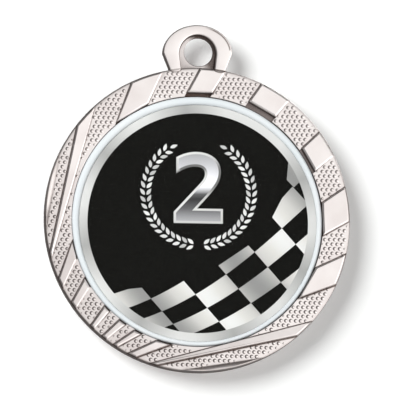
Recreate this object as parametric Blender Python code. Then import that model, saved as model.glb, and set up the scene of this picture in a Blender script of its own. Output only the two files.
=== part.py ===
"""Sports medal with a cast relief ring, a fixed ribbon loop and a glued printed insert.

The medal stands upright: its back is the plane y = 0, its front faces -Y, the loop points up
(+Z) and +X is to the right of a person facing it. The origin is the centre of the disc on the
back face. All lengths are in metres.
"""

import math

import bmesh
import bpy
from mathutils import Vector

MM = 0.001

# Driving dimensions of the casting
DISC_RADIUS = 32.5 * MM
DISC_FRONT = 2.6 * MM  # height of the lower, stippled field above the back face
EDGE_ROUND = 0.45 * MM
BACK_CHAMFER = 0.3 * MM
BAR_RISE = 0.4 * MM  # height of a bar above the field
BAR_OUTER = 32.25 * MM
BAR_ROOT = 0.6 * MM  # how far a bar's body reaches down into the disc
RECESS_RADIUS = 26.85 * MM
RECESS_FLOOR = 1.2 * MM
SEGMENTS = 96
EYE_SEGMENTS = 32
CUT_OVERRUN = 0.5 * MM  # how far a cutter runs past the face that it cuts

# The insert sits a little low in the casting, and its print a little low in the tray
INSERT_CENTRE = Vector((-0.05 * MM, -0.35 * MM))
PRINT_CENTRE = Vector((0.1 * MM, -0.7 * MM))

# Layers of the insert, from the recess floor towards the front
LAYER_GAP = 0.03 * MM
ADHESIVE_RADIUS = 24.5 * MM
ADHESIVE_THICK = 0.15 * MM
TRAY_RADIUS = 26.65 * MM
TRAY_THICK = 0.4 * MM
TRAY_RIM_HEIGHT = 1.3 * MM
TRAY_RIM_SPRING = 0.55 * MM  # where the rim starts to round over, above the tray's back
TRAY_RIM_STEPS = 6
TRAY_WELL_RADIUS = 25.36 * MM
PRINT_RADIUS = 25.3 * MM
PRINT_THICK = 0.3 * MM
DOME_EDGE_THICK = 0.2 * MM
DOME_THICK = 0.6 * MM
DOME_STEPS = 5

# Ribbon loop: a horseshoe arch around a thinner web with the round eye in it
LOOP_HALF_BASE = 6.1 * MM
LOOP_HALF_WIDTH = 7.4 * MM
LOOP_WIDEST_Z = 35.6 * MM
LOOP_TOP_Z = 41.7 * MM
LOOP_FOOT_Z = 31.3 * MM
LOOP_BACK = 0.35 * MM
LOOP_FRONT = 2.75 * MM
ARCH_HALF_BASE = 3.5 * MM
ARCH_HALF_WIDTH = 3.95 * MM
ARCH_WIDEST_Z = 35.4 * MM
ARCH_TOP_Z = 39.6 * MM
ARCH_FOOT_Z = 30.0 * MM
WEB_FRONT = 1.4 * MM
LOOP_STEPS = 28
ARCH_STEPS = 20
EYE_RADIUS = 3.05 * MM
EYE_CENTRE = Vector((0.3 * MM, 36.07 * MM))

# Each bar lies between two straight lines that cross the rim at a lower and an upper bearing.
# Bearings are in degrees, anticlockwise from +X: (first lower, first upper, second lower,
# second upper). The bars fan out from the lower left, and most cross the relief ring twice.
BARS = (
    (193.9, 142.3, 197.0, 131.7),
    (204.0, 115.8, 208.5, 102.9),
    (214.0, 89.1, 217.5, 79.0),
    (225.2, 65.2, 227.5, 52.6),
    (230.9, 36.7, 233.5, 25.8),
    (236.1, 13.7, 238.2, 0.3),
    (242.4, -11.8, 245.9, -24.3),
    (251.5, -40.7, 254.1, -48.7),
)
# The two slivers between the first and last line and the rim: (lower, upper) bearing
RIM_SLIVERS = ((186.8, 154.1), (262.9, -63.8))

# How far the inner end of a bar stops short of the recess, by the bar's middle bearing
POCKET_CENTRE_DEG = 62.0
POCKET_HALF_DEG = 48.0
POCKET_SMALL = 0.3 * MM
POCKET_LARGE = 1.35 * MM

CAST_COLOUR = (0.80, 0.76, 0.74, 1.0)
ADHESIVE_COLOUR = (0.86, 0.84, 0.78, 1.0)
TRAY_COLOUR = (0.86, 0.90, 0.93, 1.0)
PRINT_COLOUR = (0.012, 0.012, 0.011, 1.0)
DOME_COLOUR = (0.95, 0.97, 0.98, 0.25)


def clear_scene():
    for old in list(bpy.data.objects):
        bpy.data.objects.remove(old, do_unlink=True)


def make_material(name, colour, roughness, metallic):
    material = bpy.data.materials.new(name)
    material.use_nodes = True
    shader = material.node_tree.nodes["Principled BSDF"]
    shader.inputs["Base Color"].default_value = colour
    shader.inputs["Roughness"].default_value = roughness
    shader.inputs["Metallic"].default_value = metallic
    shader.inputs["Alpha"].default_value = colour[3]
    return material


def object_from_bmesh(name, bm):
    bmesh.ops.recalc_face_normals(bm, faces=bm.faces)
    mesh = bpy.data.meshes.new(name)
    bm.to_mesh(mesh)
    bm.free()
    made = bpy.data.objects.new(name, mesh)
    bpy.context.scene.collection.objects.link(made)
    return made


def finish(made, material, sharp_deg=35.0):
    made.data.materials.clear()
    made.data.materials.append(material)
    made.data.shade_smooth()
    made.data.set_sharp_from_angle(angle=math.radians(sharp_deg))
    return made


def on_circle(bearing_deg, radius):
    angle = math.radians(bearing_deg)
    return Vector((radius * math.cos(angle), radius * math.sin(angle)))


def turned(name, profile):
    """A solid whose sections are circles: profile rows are (centre, radius, height).

    Height is the distance in front of the back face. A zero radius closes the solid there.
    """
    bm = bmesh.new()
    rings = []
    for centre, radius, height in profile:
        if radius == 0.0:
            rings.append([bm.verts.new((centre.x, -height, centre.y))])
            continue
        ring = []
        for i in range(SEGMENTS):
            point = centre + on_circle(360.0 * i / SEGMENTS, radius)
            ring.append(bm.verts.new((point.x, -height, point.y)))
        rings.append(ring)
    for lower, upper in zip(rings, rings[1:]):
        for i in range(SEGMENTS):
            j = (i + 1) % SEGMENTS
            corners = [lower[i % len(lower)], lower[j % len(lower)]]
            corners += [upper[j % len(upper)], upper[i % len(upper)]]
            bm.faces.new(list(dict.fromkeys(corners)))
    return object_from_bmesh(name, bm)


def extruded(name, outline, back, front):
    """A prism with the given outline in the X-Z plane, between two heights."""
    bm = bmesh.new()
    corners = [bm.verts.new((p.x, -back, p.y)) for p in outline]
    face = bm.faces.new(corners)
    grown = bmesh.ops.extrude_face_region(bm, geom=[face])
    moved = [item for item in grown["geom"] if isinstance(item, bmesh.types.BMVert)]
    bmesh.ops.translate(bm, vec=(0.0, back - front, 0.0), verts=moved)
    return object_from_bmesh(name, bm)


def boolean(target, tool, operation):
    modifier = target.modifiers.new(operation.lower(), "BOOLEAN")
    modifier.operation = operation
    modifier.solver = "EXACT"
    modifier.object = tool
    depsgraph = bpy.context.evaluated_depsgraph_get()
    joined = bpy.data.meshes.new_from_object(target.evaluated_get(depsgraph))
    target.modifiers.clear()
    target.data = joined
    bpy.data.objects.remove(tool, do_unlink=True)


def horseshoe(half_base, half_width, foot_z, widest_z, top_z, steps):
    """Outline of an arch: legs that lean out to the widest point, under half an ellipse."""
    points = [Vector((half_base, foot_z))]
    for i in range(steps + 1):
        angle = math.pi * i / steps
        x = half_width * math.cos(angle)
        z = widest_z + (top_z - widest_z) * math.sin(angle)
        points.append(Vector((x, z)))
    points.append(Vector((-half_base, foot_z)))
    return points


def line_hits(line, radius, centre=Vector((0.0, 0.0))):
    """Where a rim-to-rim line enters and leaves a circle, or None if it misses it."""
    start = on_circle(line[0], DISC_RADIUS) - centre
    along = (on_circle(line[1], DISC_RADIUS) - centre - start).normalized()
    middle = -start.dot(along)
    miss = (start + along * middle).length
    if miss >= radius:
        return None
    half = math.sqrt(radius * radius - miss * miss)
    return start + along * (middle - half) + centre, start + along * (middle + half) + centre


def arc(start, end, radius, centre=Vector((0.0, 0.0)), steps=8):
    """Points of the shorter arc from start to end on a circle, both ends included."""
    first = (start - centre).angle_signed(Vector((1.0, 0.0)))
    turn = (end - centre).angle_signed(start - centre)
    points = []
    for i in range(steps + 1):
        bearing = math.degrees(first + turn * i / steps)
        points.append(centre + on_circle(bearing, radius))
    return points


def pocket_depth(point):
    """Bars facing the upper right stop furthest from the recess."""
    bearing = math.degrees(math.atan2(point.y, point.x))
    away = abs(bearing - POCKET_CENTRE_DEG)
    share = max(0.0, 1.0 - min(away, 360.0 - away) / POCKET_HALF_DEG)
    return POCKET_SMALL + (POCKET_LARGE - POCKET_SMALL) * share


def bar_outlines():
    """The outline of every bar piece, walked round once."""
    outlines = []
    for low_a, high_a, low_b, high_b in BARS:
        line_a = (low_a, high_a)
        line_b = (low_b, high_b)
        foot_a, head_a = line_hits(line_a, BAR_OUTER)
        foot_b, head_b = line_hits(line_b, BAR_OUTER)
        inner = RECESS_RADIUS + POCKET_SMALL
        if not (line_hits(line_a, inner, INSERT_CENTRE) and line_hits(line_b, inner, INSERT_CENTRE)):
            outlines.append(long_bar(line_a, line_b, inner))
            continue
        for end, rim_a, rim_b in ((0, foot_a, foot_b), (1, head_a, head_b)):
            reach = RECESS_RADIUS + pocket_depth((rim_a + rim_b) / 2)
            inner_a = line_hits(line_a, reach, INSERT_CENTRE)[end]
            inner_b = line_hits(line_b, reach, INSERT_CENTRE)[end]
            outlines.append(arc(rim_a, rim_b, BAR_OUTER) + [inner_b, inner_a])
    return outlines


def long_bar(line_a, line_b, inner):
    """A bar that runs past the insert in one piece, trimmed where it would reach the recess."""
    foot_a, head_a = line_hits(line_a, BAR_OUTER)
    foot_b, head_b = line_hits(line_b, BAR_OUTER)
    edge_a = [head_a, foot_a]
    edge_b = [foot_b, head_b]
    trim_a = line_hits(line_a, inner, INSERT_CENTRE)
    trim_b = line_hits(line_b, inner, INSERT_CENTRE)
    if trim_a:
        edge_a = [head_a] + arc(trim_a[1], trim_a[0], inner, INSERT_CENTRE) + [foot_a]
    if trim_b:
        edge_b = [foot_b] + arc(trim_b[0], trim_b[1], inner, INSERT_CENTRE) + [head_b]
    outer_foot = arc(foot_a, foot_b, BAR_OUTER, steps=3)[1:-1]
    outer_head = arc(head_b, head_a, BAR_OUTER, steps=6)[1:-1]
    return edge_a + outer_foot + edge_b + outer_head


def make_loop():
    """The arch with its web and eye. The web runs on behind the rim, the legs rest on the field."""
    outline = horseshoe(LOOP_HALF_BASE, LOOP_HALF_WIDTH, LOOP_FOOT_Z, LOOP_WIDEST_Z, LOOP_TOP_Z, LOOP_STEPS)
    loop = extruded("loop", outline, LOOP_BACK, LOOP_FRONT)
    arch = horseshoe(ARCH_HALF_BASE, ARCH_HALF_WIDTH, ARCH_FOOT_Z, ARCH_WIDEST_Z, ARCH_TOP_Z, ARCH_STEPS)
    boolean(loop, extruded("arch_pocket", arch, WEB_FRONT, LOOP_FRONT + CUT_OVERRUN), "DIFFERENCE")
    ring = [EYE_CENTRE + on_circle(360.0 * i / EYE_SEGMENTS, EYE_RADIUS) for i in range(EYE_SEGMENTS)]
    boolean(loop, extruded("eye_cutter", ring, -CUT_OVERRUN, LOOP_FRONT), "DIFFERENCE")
    return loop


def make_medal_body(material):
    origin = Vector((0.0, 0.0))
    edge = DISC_RADIUS - EDGE_ROUND
    profile = [(origin, 0.0, 0.0)]
    profile.append((origin, DISC_RADIUS - BACK_CHAMFER, 0.0))
    profile.append((origin, DISC_RADIUS, BACK_CHAMFER))
    for angle in (0.0, 45.0, 90.0):
        turn = on_circle(angle, EDGE_ROUND)
        profile.append((origin, edge + turn.x, DISC_FRONT - EDGE_ROUND + turn.y))
    profile.append((INSERT_CENTRE, RECESS_RADIUS, DISC_FRONT))
    profile.append((INSERT_CENTRE, RECESS_RADIUS, RECESS_FLOOR))
    profile.append((INSERT_CENTRE, 0.0, RECESS_FLOOR))
    body = turned("medal_body", profile)

    boolean(body, make_loop(), "UNION")
    for outline in bar_outlines():
        bar = extruded("bar", outline, DISC_FRONT - BAR_ROOT, DISC_FRONT + BAR_RISE)
        boolean(body, bar, "UNION")
    for low, high in RIM_SLIVERS:
        foot, head = line_hits((low, high), BAR_OUTER)
        sliver = arc(foot, head, BAR_OUTER, steps=10)
        bar = extruded("sliver", sliver, DISC_FRONT - BAR_ROOT, DISC_FRONT + BAR_RISE)
        boolean(body, bar, "UNION")
    return finish(body, material)


def make_adhesive(material):
    back = RECESS_FLOOR + LAYER_GAP
    front = back + ADHESIVE_THICK
    profile = [(INSERT_CENTRE, 0.0, back), (INSERT_CENTRE, ADHESIVE_RADIUS, back)]
    profile += [(INSERT_CENTRE, ADHESIVE_RADIUS, front), (INSERT_CENTRE, 0.0, front)]
    return finish(turned("insert_adhesive", profile), material), front


def make_tray(material, seat):
    """A shallow plate whose rounded rim is wider at the top than below the print."""
    back = seat + LAYER_GAP
    floor = back + TRAY_THICK
    spring = back + TRAY_RIM_SPRING
    crown = back + TRAY_RIM_HEIGHT
    profile = [(INSERT_CENTRE, 0.0, back), (INSERT_CENTRE, TRAY_RADIUS, back)]
    for i in range(TRAY_RIM_STEPS + 1):
        angle = math.pi * i / TRAY_RIM_STEPS
        share = (1.0 - math.cos(angle)) / 2
        centre = INSERT_CENTRE.lerp(PRINT_CENTRE, share)
        radius = TRAY_RADIUS + (TRAY_WELL_RADIUS - TRAY_RADIUS) * share
        height = spring + (crown - spring) * math.sin(angle)
        profile.append((centre, radius, height))
    profile.append((PRINT_CENTRE, TRAY_WELL_RADIUS, floor))
    profile.append((PRINT_CENTRE, 0.0, floor))
    return finish(turned("insert_tray", profile), material), floor


def make_print(material, seat):
    back = seat + LAYER_GAP
    front = back + PRINT_THICK
    profile = [(PRINT_CENTRE, 0.0, back), (PRINT_CENTRE, PRINT_RADIUS, back)]
    profile += [(PRINT_CENTRE, PRINT_RADIUS, front), (PRINT_CENTRE, 0.0, front)]
    return finish(turned("printed_disc", profile), material), front


def make_dome(material, seat):
    back = seat + LAYER_GAP
    edge = back + DOME_EDGE_THICK
    profile = [(PRINT_CENTRE, 0.0, back), (PRINT_CENTRE, PRINT_RADIUS, back)]
    for i in range(DOME_STEPS):
        angle = math.pi / 2 * i / DOME_STEPS
        height = edge + (DOME_THICK - DOME_EDGE_THICK) * math.sin(angle)
        profile.append((PRINT_CENTRE, PRINT_RADIUS * math.cos(angle), height))
    profile.append((PRINT_CENTRE, 0.0, back + DOME_THICK))
    return finish(turned("clear_dome", profile), material)


def main():
    clear_scene()
    make_medal_body(make_material("cast_zinc", CAST_COLOUR, 0.35, 1.0))
    _, seat = make_adhesive(make_material("adhesive", ADHESIVE_COLOUR, 0.7, 0.0))
    _, seat = make_tray(make_material("tray", TRAY_COLOUR, 0.2, 0.2), seat)
    _, seat = make_print(make_material("print", PRINT_COLOUR, 0.3, 0.0), seat)
    make_dome(make_material("resin", DOME_COLOUR, 0.03, 0.0), seat)


main()
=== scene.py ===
"""Looks of the sports medal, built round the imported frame. Lengths are in metres.

The medal hangs upright: back on the plane y = 0, front facing -Y, ribbon loop up. A point of the
front is given as (x, z), and its height is the distance in front of the back plane, so y = -height.
"""

import math
import random

import bmesh
import bpy
import numpy as np
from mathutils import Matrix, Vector
from mathutils.geometry import delaunay_2d_cdt


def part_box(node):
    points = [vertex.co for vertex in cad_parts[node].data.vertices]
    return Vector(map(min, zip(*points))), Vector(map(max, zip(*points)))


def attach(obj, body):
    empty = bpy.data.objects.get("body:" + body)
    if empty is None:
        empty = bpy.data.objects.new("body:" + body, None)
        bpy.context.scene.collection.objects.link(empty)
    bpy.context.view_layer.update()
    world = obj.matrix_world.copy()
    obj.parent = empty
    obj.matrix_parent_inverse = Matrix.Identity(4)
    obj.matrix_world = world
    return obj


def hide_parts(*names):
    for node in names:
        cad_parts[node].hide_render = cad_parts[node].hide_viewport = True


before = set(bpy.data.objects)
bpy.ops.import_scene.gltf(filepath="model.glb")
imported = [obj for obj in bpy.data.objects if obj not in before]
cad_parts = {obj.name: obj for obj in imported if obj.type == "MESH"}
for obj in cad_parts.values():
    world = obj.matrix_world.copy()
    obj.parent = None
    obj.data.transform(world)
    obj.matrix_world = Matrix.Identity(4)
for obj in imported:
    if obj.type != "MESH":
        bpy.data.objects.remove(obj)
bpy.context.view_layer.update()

MM = 0.001

# ---------------------------------------------------------------- sizes read from the frame
body_low, body_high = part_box("medal_body")
tray_low, tray_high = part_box("insert_tray")
film_low, film_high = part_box("printed_disc")
dome_low, dome_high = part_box("clear_dome")

DISC_R = -body_low.z
BAR_TOP = -body_low.y
LOOP_TOP_Z = body_high.z
TRAY_R = (tray_high.x - tray_low.x) / 2
TRAY_C = Vector(((tray_high.x + tray_low.x) / 2, (tray_high.z + tray_low.z) / 2))
TRAY_BACK = -tray_high.y
TRAY_CROWN = -tray_low.y
FILM_R = (film_high.x - film_low.x) / 2
FILM_C = Vector(((film_high.x + film_low.x) / 2, (film_high.z + film_low.z) / 2))
FILM_BACK = -film_high.y
FILM_FRONT = -film_low.y
DOME_BACK = -dome_high.y
DOME_FRONT = -dome_low.y

# ---------------------------------------------------------------- the casting's other sizes
FIELD = BAR_TOP - 0.4 * MM
RIM_ROUND = 0.42 * MM
RECESS_R = TRAY_R + 0.1 * MM
RECESS_FLOOR = 1.2 * MM
POCKET_DROP = 0.85 * MM
WEB = 1.4 * MM
LOOP_BACK = 0.35 * MM
EYE_C = Vector((0.3 * MM, LOOP_TOP_Z - 5.63 * MM))
EYE_R = 3.05 * MM
BACK_CHAMFER = 0.3 * MM

# Each bar lies between two straight lines across the disc. A line is named by the bearings at
# which it crosses the rim, in degrees anticlockwise from +X: (first low, first high, second
# low, second high). They fan out from the lower left, and most cross the relief ring twice.
BARS = (
    (193.9, 142.3, 197.0, 131.7),
    (204.0, 115.8, 208.5, 102.9),
    (214.0, 89.1, 217.5, 79.0),
    (225.2, 65.2, 227.5, 52.6),
    (230.9, 36.7, 233.5, 25.8),
    (236.1, 13.7, 238.2, 0.3),
    (242.4, -11.8, 245.9, -24.3),
    (251.5, -40.7, 254.1, -48.7),
)
RIM_SLIVERS = ((186.8, 154.1), (262.9, -63.8))
BAR_OUTER = DISC_R - 0.12 * MM
POCKET_CENTRE_DEG = 62.0
POCKET_HALF_DEG = 48.0
POCKET_SMALL = 0.3 * MM
POCKET_LEAST = 0.14 * MM  # on the lower right
POCKET_LARGE = 1.35 * MM

# Height of a bar, of the arch and of a bead, by the distance in from their outlines
BAR_PROFILE = ((0.0, FIELD), (0.2 * MM, BAR_TOP - 0.14 * MM), (0.42 * MM, BAR_TOP))
SLIVER_PROFILE = ((0.0, FIELD), (0.07 * MM, BAR_TOP - 0.16 * MM), (0.15 * MM, BAR_TOP - 0.1 * MM))
ARCH_PROFILE = (
    (-0.2 * MM, WEB),
    (0.0, 2.45 * MM),
    (0.1 * MM, 2.64 * MM),
    (0.26 * MM, 2.73 * MM),
    (0.7 * MM, 2.76 * MM),
)
BEAD_R = 0.38 * MM
BEAD_PITCH_X = 1.045 * MM
BEAD_PITCH_Z = 0.97 * MM
BEAD_START = Vector((-5.26 * MM, 31.1 * MM))
BEAD_SIDES = 12
BEAD_PROFILE = ((1.16, 0.0), (1.0, 0.0), (0.82, 0.11 * MM), (0.58, 0.19 * MM), (0.25, 0.24 * MM))
# Patina at each bead's foot, ring by ring; painted shade on one side is laid on top
BEAD_PATINA_SHADE = (0.0, 1.0, 0.95, 0.3, 0.0)
BEAD_LEAST = 0.14 * MM

# Narrow edges: a wall's width, or a rounding's width and drop
DISC_STEP = 0.06 * MM
POCKET_WALL = 0.06 * MM
RECESS_LIP, RECESS_LIP_DROP = 0.1 * MM, 0.09 * MM
EYE_ROUND, EYE_ROUND_DROP = 0.14 * MM, 0.12 * MM
LIP_LINE = 0.42 * MM

# Patina with painted shade from 0 to 1, by bearing in degrees unless a comment says otherwise. The tables below lay
# painted shade and painted dark reflections on the casting, over its patina
# By the way an edge faces: a wider, darker line of painted shade under a bar's downward-facing edge
UNDER_EDGE = ((-112.0, 0.0), (-100.0, 1.0), (-68.0, 1.0), (-58.0, 0.0))
# Painted shade in the pockets, over their patina, a little lighter to the right
POCKET_SHADE = ((0.0, 1.0), (18.0 * MM, 0.72))  # by x
# Share, by x, of the line of painted shade on the loop's right side
LOOP_LINE_SHARE = ((1.5 * MM, 0.0), (3.5 * MM, 1.0))  # by x
# Painted shade: the front a little darker towards the lower left, by distance that way
LOWER_LEFT_SHADE = ((8.0 * MM, 0.0), (30.0 * MM, 0.16))  # by distance to the lower left
# Painted shade and dark reflection along the rim's rounding, by bearing
RIM_SHADE = ((-180.0, 0.75), (-110.0, 0.7), (-90.0, 0.45), (160.0, 0.5), (180.0, 0.7))
# Painted shade on the recess lip, darkest from the right round the top to the upper left
LIP_SHADE = ((-180.0, 0.3), (-30.0, 0.3), (0.0, 0.6), (120.0, 0.75), (150.0, 0.3), (180.0, 0.3))
# Painted shade on the eye's walls and the web round it, dark on the right and top
EYE_WALL_SHADE = ((-75.0, 0.2), (-50.0, 0.85), (100.0, 0.95), (135.0, 0.1))
# Painted shade and dark reflection along the loop's outer edge, by bearing
LOOP_EDGE_SHADE = ((-180.0, 0.9), (-150.0, 0.9), (-120.0, 0.5), (0.0, 0.2), (15.0, 0.9), (60.0, 0.9))
LOOP_EDGE_SHADE += ((85.0, 0.3), (170.0, 0.3), (180.0, 0.9))


# ---------------------------------------------------------------- plane geometry
def on_circle(bearing_deg, radius, centre=Vector((0.0, 0.0))):
    angle = math.radians(bearing_deg)
    return Vector((centre.x + radius * math.cos(angle), centre.y + radius * math.sin(angle)))


def circle(centre, radius, sides):
    return [on_circle(360.0 * i / sides, radius, centre) for i in range(sides)]


def bezier(start, lead, pull, end, steps):
    """Points of a cubic curve, its start left out and its end included."""
    points = []
    for i in range(1, steps + 1):
        t = i / steps
        s = 1.0 - t
        points.append(start * s**3 + lead * 3 * s * s * t + pull * 3 * s * t * t + end * t**3)
    return points


def clip(polygon, normal, offset):
    """The part of a polygon on the side where normal . p >= offset."""
    kept = []
    for here, there in zip(polygon, polygon[1:] + polygon[:1]):
        a = normal.dot(here) - offset
        b = normal.dot(there) - offset
        if a >= 0:
            kept.append(here)
        if (a >= 0) != (b >= 0):
            kept.append(here.lerp(there, a / (a - b)))
    return kept


def tidy(polygon, closest=0.02 * MM):
    """Drops points that nearly repeat the one before."""
    kept = []
    for point in polygon:
        if not kept or (point - kept[-1]).length > closest:
            kept.append(point)
    if (kept[0] - kept[-1]).length <= closest:
        kept.pop()
    return kept


def area(polygon):
    return sum(a.x * b.y - b.x * a.y for a, b in zip(polygon, polygon[1:] + polygon[:1])) / 2


def anticlockwise(polygon):
    return polygon if area(polygon) > 0 else polygon[::-1]


def inset(polygon, distance):
    """The outline moved in by a distance, with mitred corners. The outline is anticlockwise."""
    moved = []
    count = len(polygon)
    for i, point in enumerate(polygon):
        back = (point - polygon[i - 1]).normalized()
        ahead = (polygon[(i + 1) % count] - point).normalized()
        side_a = Vector((-back.y, back.x))
        side_b = Vector((-ahead.y, ahead.x))
        mitre = side_a + side_b
        length = max(0.35, mitre.length_squared / 2)
        moved.append(point + mitre * (distance / length))
    return moved


def from_centre(points, centre):
    return np.hypot(points[:, 0] - centre.x, points[:, 1] - centre.y)


def sides(points, polygon):
    """For each side of an outline: its start, its run, and every point's distance to it."""
    corners = np.array([(p.x, p.y) for p in polygon])
    for (ax, ay), (bx, by) in zip(corners, np.roll(corners, -1, axis=0)):
        dx, dy = bx - ax, by - ay
        share = ((points[:, 0] - ax) * dx + (points[:, 1] - ay) * dy) / (dx * dx + dy * dy)
        share = np.clip(share, 0.0, 1.0)
        gap = np.hypot(points[:, 0] - ax - share * dx, points[:, 1] - ay - share * dy)
        yield ax, ay, dx, dy, gap


def depth_inside(points, polygon):
    """Signed distance of many points to an outline, positive inside."""
    nearest = np.full(len(points), np.inf)
    inside = np.zeros(len(points), bool)
    for ax, ay, dx, dy, gap in sides(points, polygon):
        nearest = np.minimum(nearest, gap)
        if dy != 0.0:
            crosses = (ay > points[:, 1]) != (ay + dy > points[:, 1])
            inside ^= crosses & (points[:, 0] < ax + (points[:, 1] - ay) * dx / dy)
    return np.where(inside, nearest, -nearest)


def facing_of(points, polygon):
    """The bearing in degrees that an outline faces, at the place nearest each point."""
    nearest = np.full(len(points), np.inf)
    facing = np.zeros(len(points))
    for _, _, dx, dy, gap in sides(points, polygon):
        closer = gap < nearest
        nearest = np.where(closer, gap, nearest)
        facing = np.where(closer, math.degrees(math.atan2(-dx, dy)), facing)
    return facing


def read_off(places, pairs):
    """Values at many places, between (place, value) pairs."""
    return np.interp(places, [p[0] for p in pairs], [p[1] for p in pairs])


def stripe(distance, width, firm):
    """A darkened line, for patina and painted shade: firm at its middle, kept to 1 at most, and falling by 1 in
    each width.
    """
    return np.clip(firm - np.abs(distance) / width, 0.0, 1.0)


# ---------------------------------------------------------------- outlines of the relief
def line_of(low, high):
    """Unit normal, offset and direction of a rim-to-rim line. The normal points to its lower right."""
    start = on_circle(low, DISC_R)
    along = (on_circle(high, DISC_R) - start).normalized()
    normal = Vector((along.y, -along.x))
    return normal, normal.dot(start), along


def pocket_depth(bearing_deg):
    away = abs((bearing_deg - POCKET_CENTRE_DEG + 180.0) % 360.0 - 180.0)
    share = max(0.0, 1.0 - away / POCKET_HALF_DEG)
    if -40.0 < bearing_deg < 15.0:
        return POCKET_LEAST
    return POCKET_SMALL + (POCKET_LARGE - POCKET_SMALL) * share


def hit(point, along, radius, centre, which):
    """Where a line leaves (which = 1) or enters (which = -1) a circle, or None."""
    start = point - centre
    middle = -start.dot(along)
    miss = (start + along * middle).length
    if miss >= radius:
        return None
    return point + along * (middle + which * math.sqrt(radius * radius - miss * miss))


def bar_shapes():
    """Outlines of the bar pieces, and of the pockets at their inner ends."""
    bars, pockets = [], []
    rim = circle(Vector((0.0, 0.0)), BAR_OUTER, 360)
    for low_a, high_a, low_b, high_b in BARS:
        normal_a, offset_a, along_a = line_of(low_a, high_a)
        normal_b, offset_b, along_b = line_of(low_b, high_b)
        strip = clip(clip(rim, normal_a, offset_a), -normal_b, -offset_b)
        start_a, start_b = on_circle(low_a, DISC_R), on_circle(low_b, DISC_R)
        reach = RECESS_R + POCKET_SMALL
        if None in (hit(start_a, along_a, reach, TRAY_C, 1), hit(start_b, along_b, reach, TRAY_C, 1)):
            bars.append(tidy(strip))
            continue
        for which, bearing in ((-1, (low_a + low_b) / 2), (1, (high_a + high_b) / 2)):
            reach = RECESS_R + pocket_depth(bearing)
            end_a = hit(start_a, along_a, reach, TRAY_C, which)
            end_b = hit(start_b, along_b, reach, TRAY_C, which)
            cut = (end_b - end_a).normalized()
            outward = Vector((cut.y, -cut.x))
            if outward.dot((end_a + end_b) / 2) < 0:
                outward = -outward
            bars.append(tidy(clip(strip, outward, outward.dot(end_a))))
            floor = clip(strip, -outward, -outward.dot(end_a))
            floor = clip(floor, outward, outward.dot(end_a) - POCKET_LARGE * 2)
            pockets.append(tidy(floor))
    for (low, high), side in zip(RIM_SLIVERS, (-1, 1)):
        normal, offset, _ = line_of(low, high)
        bars.append(tidy(clip(rim, normal * side, offset * side)))
    return [anticlockwise(p) for p in bars], [anticlockwise(p) for p in pockets]


def horseshoe(half_foot, half_width, foot_z, widest_z, top_z, steps):
    """Left foot to right foot over an arch: leaning legs under half an ellipse."""
    points = [Vector((-half_foot, foot_z))]
    for i in range(steps + 1):
        angle = math.pi * (1.0 - i / steps)
        z = widest_z + (top_z - widest_z) * math.sin(angle)
        points.append(Vector((half_width * math.cos(angle), z)))
    points.append(Vector((half_foot, foot_z)))
    return points


def arch_shapes():
    """The loop's outer outline, and the outline of the raised arch with its rounded feet."""
    widest = LOOP_TOP_Z - 6.1 * MM
    foot = LOOP_TOP_Z - 9.5 * MM
    outer = horseshoe(6.05 * MM, 7.4 * MM, foot, widest, LOOP_TOP_Z, 56)
    inner = horseshoe(3.55 * MM, 3.95 * MM, foot, widest - 0.2 * MM, LOOP_TOP_Z - 2.1 * MM, 44)
    right_foot = foot_round(outer[-1], inner[-1])
    left_foot = foot_round(inner[0], outer[0])
    band = outer + right_foot + inner[::-1] + left_foot
    band = tidy(band[::-1])
    below = [Vector((6.05 * MM, foot - 1.0 * MM)), Vector((-6.05 * MM, foot - 1.0 * MM))]
    loop = tidy((outer + below)[::-1])
    return loop, band


def foot_round(start, end):
    """The flattened half circle that ends a leg, from one side of it to the other."""
    centre = (start + end) / 2
    radius = (start - end).length / 2
    arc = [on_circle(-180.0 * i / 10, radius) for i in range(1, 10)]
    return [centre + Vector((p.x, p.y * 0.55)) for p in arc]


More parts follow.
